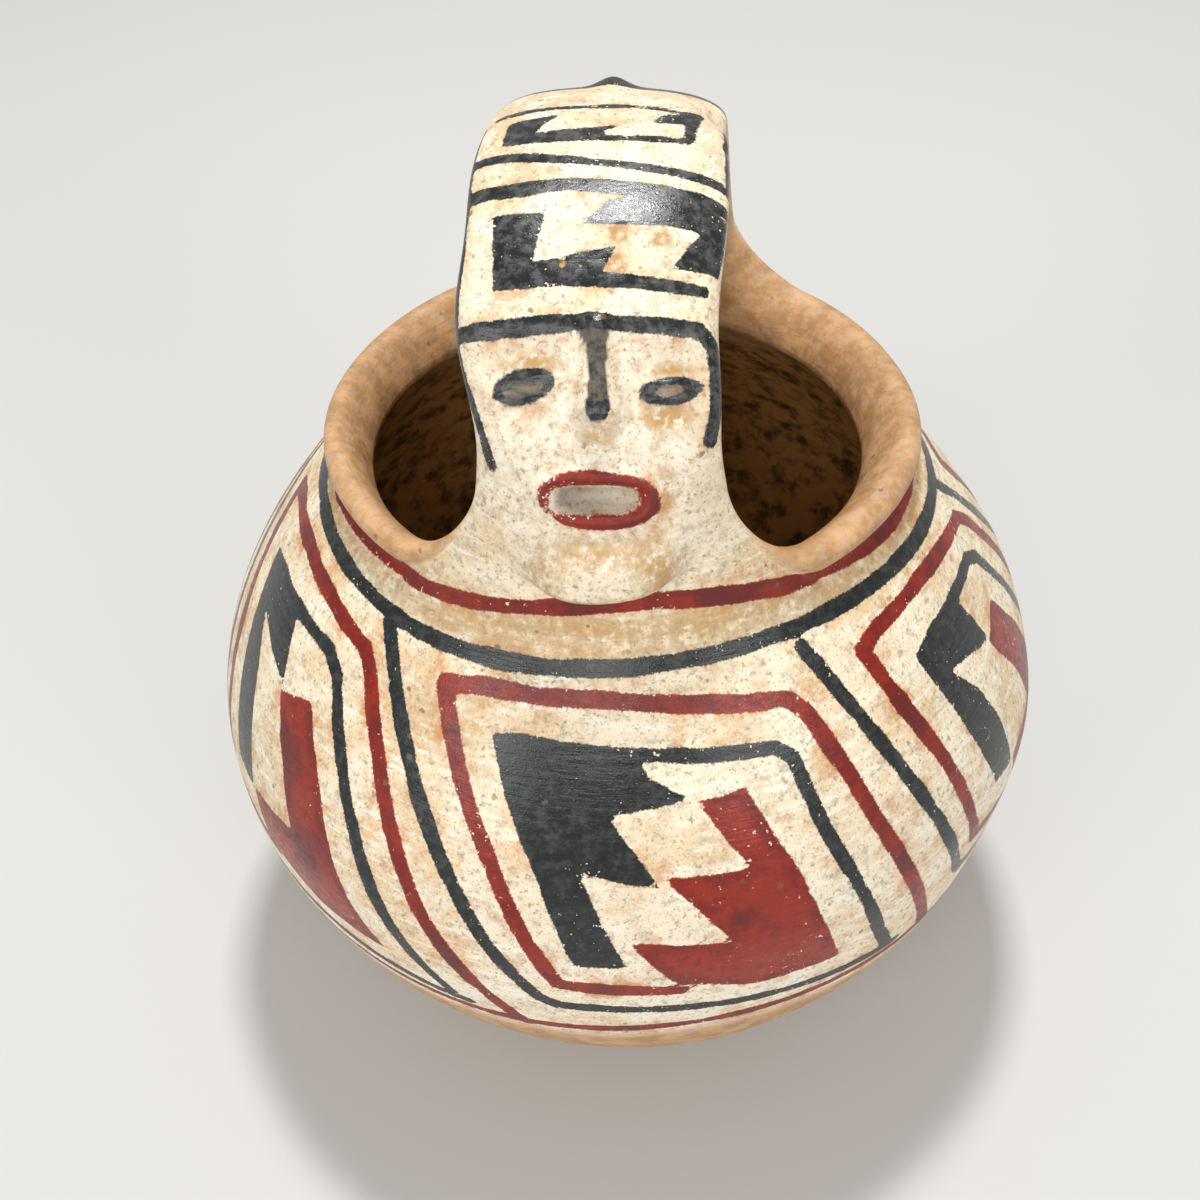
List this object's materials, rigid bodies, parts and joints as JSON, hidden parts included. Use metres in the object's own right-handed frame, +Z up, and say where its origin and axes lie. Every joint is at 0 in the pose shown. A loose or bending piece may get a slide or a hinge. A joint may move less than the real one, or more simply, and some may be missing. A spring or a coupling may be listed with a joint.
{
  "type": "clay bowl with a face on its strap handle",
  "caption": "Round painted clay bowl with a broad strap handle arched over its mouth and modelled as a head, for holding and carrying food or water.",
  "frame": {"origin": "middle of the flat underside, on the bowl's axis", "axes": "+Z up along the bowl's axis, -Y towards the front face, +X to the viewer's right when facing it"},
  "size_m": [0.1646, 0.1646, 0.19],
  "materials": {
    "painted_clay": "low-fired clay, burnished cream slip with black and red paint, bare brown lip and inside"
  },
  "bodies": {
    "root": {"effigy_bowl": "painted_clay"}
  },
  "joints": []
}
